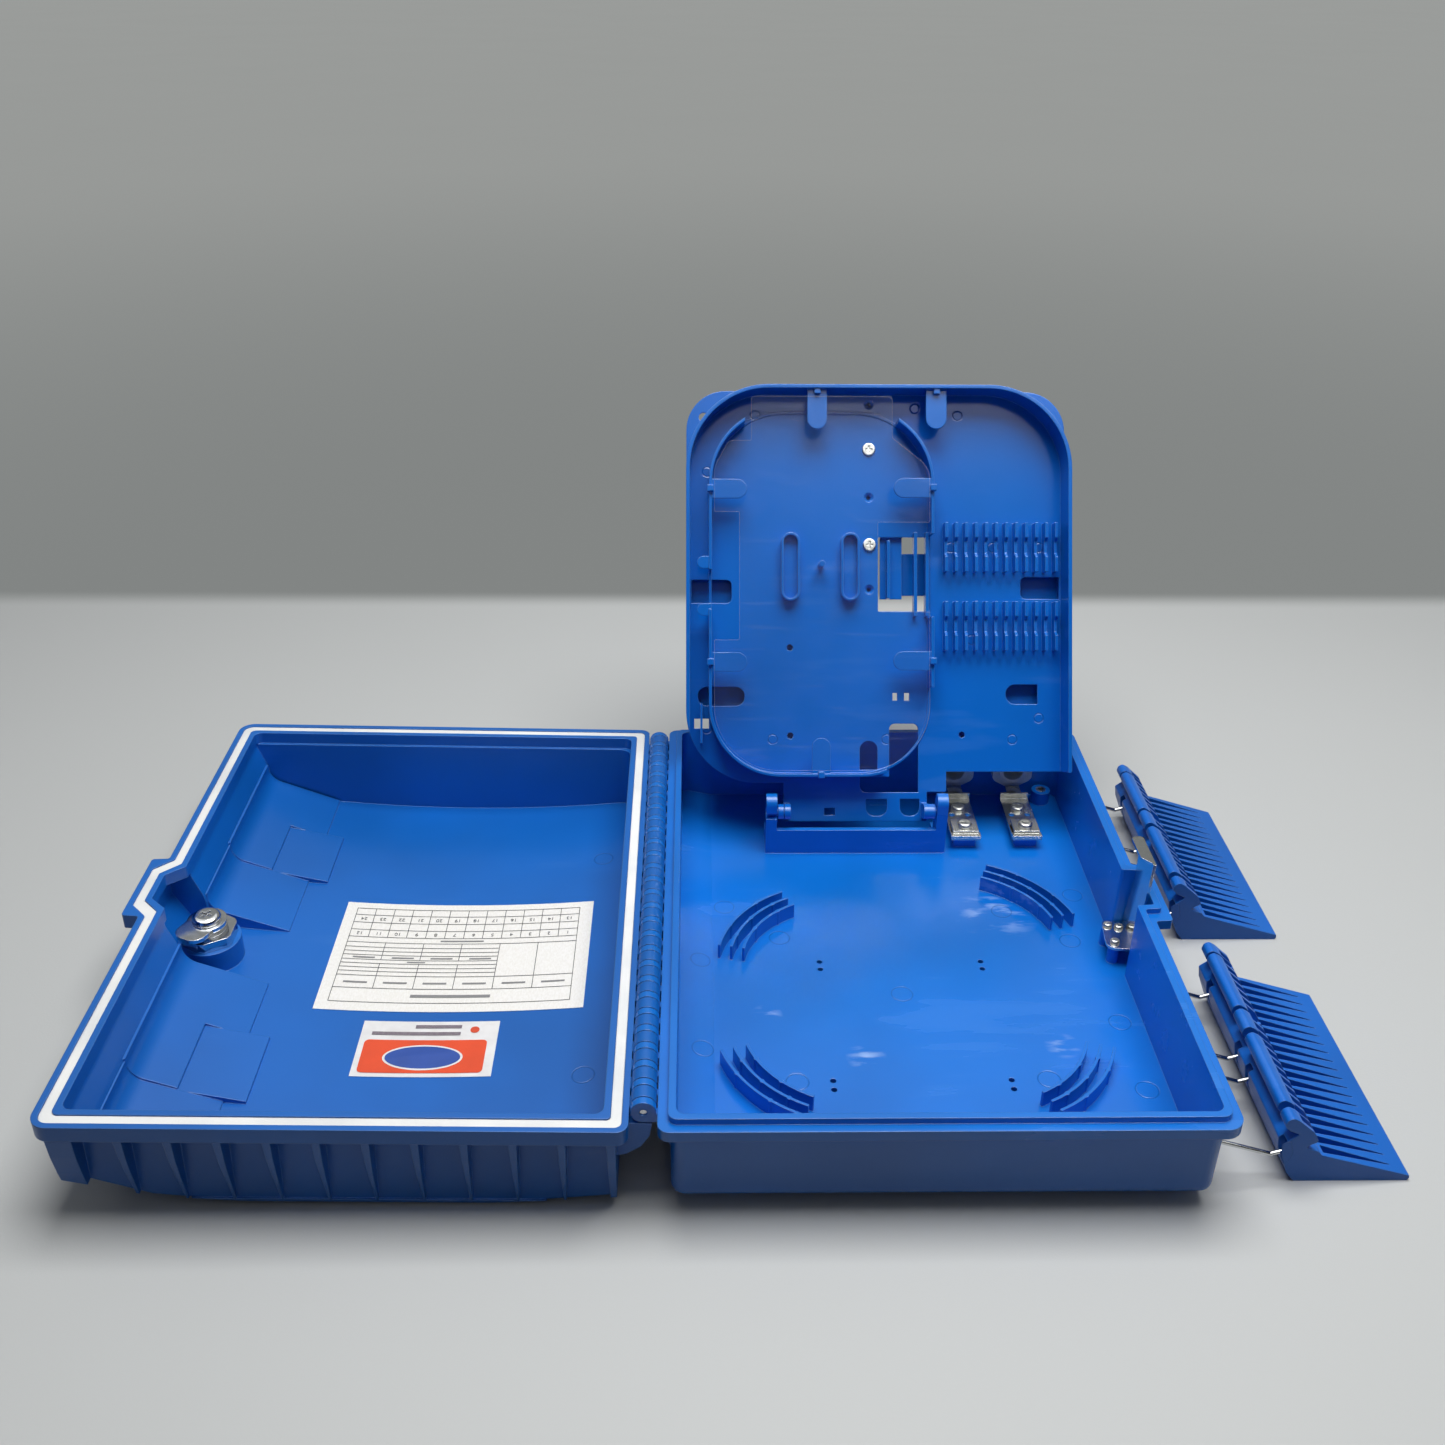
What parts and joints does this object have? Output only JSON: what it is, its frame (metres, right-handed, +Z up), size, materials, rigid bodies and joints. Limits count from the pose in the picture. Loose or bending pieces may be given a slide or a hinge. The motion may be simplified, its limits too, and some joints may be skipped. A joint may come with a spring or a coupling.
{
  "type": "open wall-mount fibre distribution box",
  "caption": "Shallow blue plastic wall box lying open on its long hinge, with a leaning splice tray under a clear cover, cable clamps and glands, a quarter-turn lock and wire-bail latches.",
  "frame": {"origin": "on the bench under the middle of the base", "axes": "+X away from the lid towards the latches, +Y from the near end towards the gland end, +Z up out of the open base"},
  "size_m": [0.579, 0.3834, 0.243],
  "materials": {
    "blue_plastic": "satin gloss moulded",
    "bright_steel": "bright plated",
    "plated_screw": "plated",
    "grey_nylon": "matt moulded",
    "lock_chrome": "chromed casting",
    "white_foam": "closed foam",
    "paper": "matt",
    "label_film": "printed film",
    "clear_cover": "clear plastic"
  },
  "bodies": {
    "base": {"base_shell": "blue_plastic", "hinge_pin": "bright_steel", "gland_body_a": "grey_nylon", "gland_nut_a": "grey_nylon", "gland_cap_a": "grey_nylon", "gland_body_b": "grey_nylon", "gland_nut_b": "grey_nylon", "gland_cap_b": "grey_nylon", "clamp_bracket_a": "bright_steel", "clamp_jaw_a": "bright_steel", "clamp_bracket_b": "bright_steel", "clamp_jaw_b": "bright_steel", "clamp_screws": "plated_screw", "earth_insert": "plated_screw", "striker_plate": "bright_steel", "striker_screws": "plated_screw"},
    "lid": {"lid_shell": "blue_plastic", "gasket": "white_foam", "lock_body": "lock_chrome", "lock_nut": "lock_chrome", "record_sheet": "paper", "colour_label": "label_film"},
    "cam": {"lock_cam": "lock_chrome", "cam_screw": "plated_screw"},
    "tray": {"tray_plate": "blue_plastic", "tray_cover": "clear_cover", "tray_screws": "plated_screw"},
    "bails_near": {"bail_near_a": "bright_steel", "bail_near_b": "bright_steel"},
    "handle_near": {"latch_handle_near": "blue_plastic"},
    "bails_far": {"bail_far_a": "bright_steel", "bail_far_b": "bright_steel"},
    "handle_far": {"latch_handle_far": "blue_plastic"}
  },
  "joints": [
    {"name": "lid_hinge", "type": "hinge", "parent": "base", "child": "lid", "pos_m": [-0.1243, 0, 0.05], "axis": [0, 1, 0], "range_deg": [0, 90]},
    {"name": "tray_fold", "type": "hinge", "parent": "base", "child": "tray", "pos_m": [0, 0.0954, 0.0346], "axis": [1, 0, 0], "range_deg": [0, 120]},
    {"name": "lock_turn", "type": "hinge", "parent": "lid", "child": "cam", "pos_m": [-0.34503, 0, 0.034], "axis": [0.0182, 0, 0.9998], "range_deg": [-66, 24]},
    {"name": "bails_near_swing", "type": "hinge", "parent": "base", "child": "bails_near", "pos_m": [0.1172, -0.087, 0.0218], "axis": [0, -1, 0], "range_deg": [0, 35]},
    {"name": "handle_near_turn", "type": "hinge", "parent": "bails_near", "child": "handle_near", "pos_m": [0.1485, -0.087, 0.0162], "axis": [0, -1, 0], "range_deg": [0, 35]},
    {"name": "bails_far_swing", "type": "hinge", "parent": "base", "child": "bails_far", "pos_m": [0.1172, 0.0776, 0.0218], "axis": [0, -1, 0], "range_deg": [0, 35]},
    {"name": "handle_far_turn", "type": "hinge", "parent": "bails_far", "child": "handle_far", "pos_m": [0.1485, 0.0776, 0.0162], "axis": [0, -1, 0], "range_deg": [0, 35]}
  ]
}
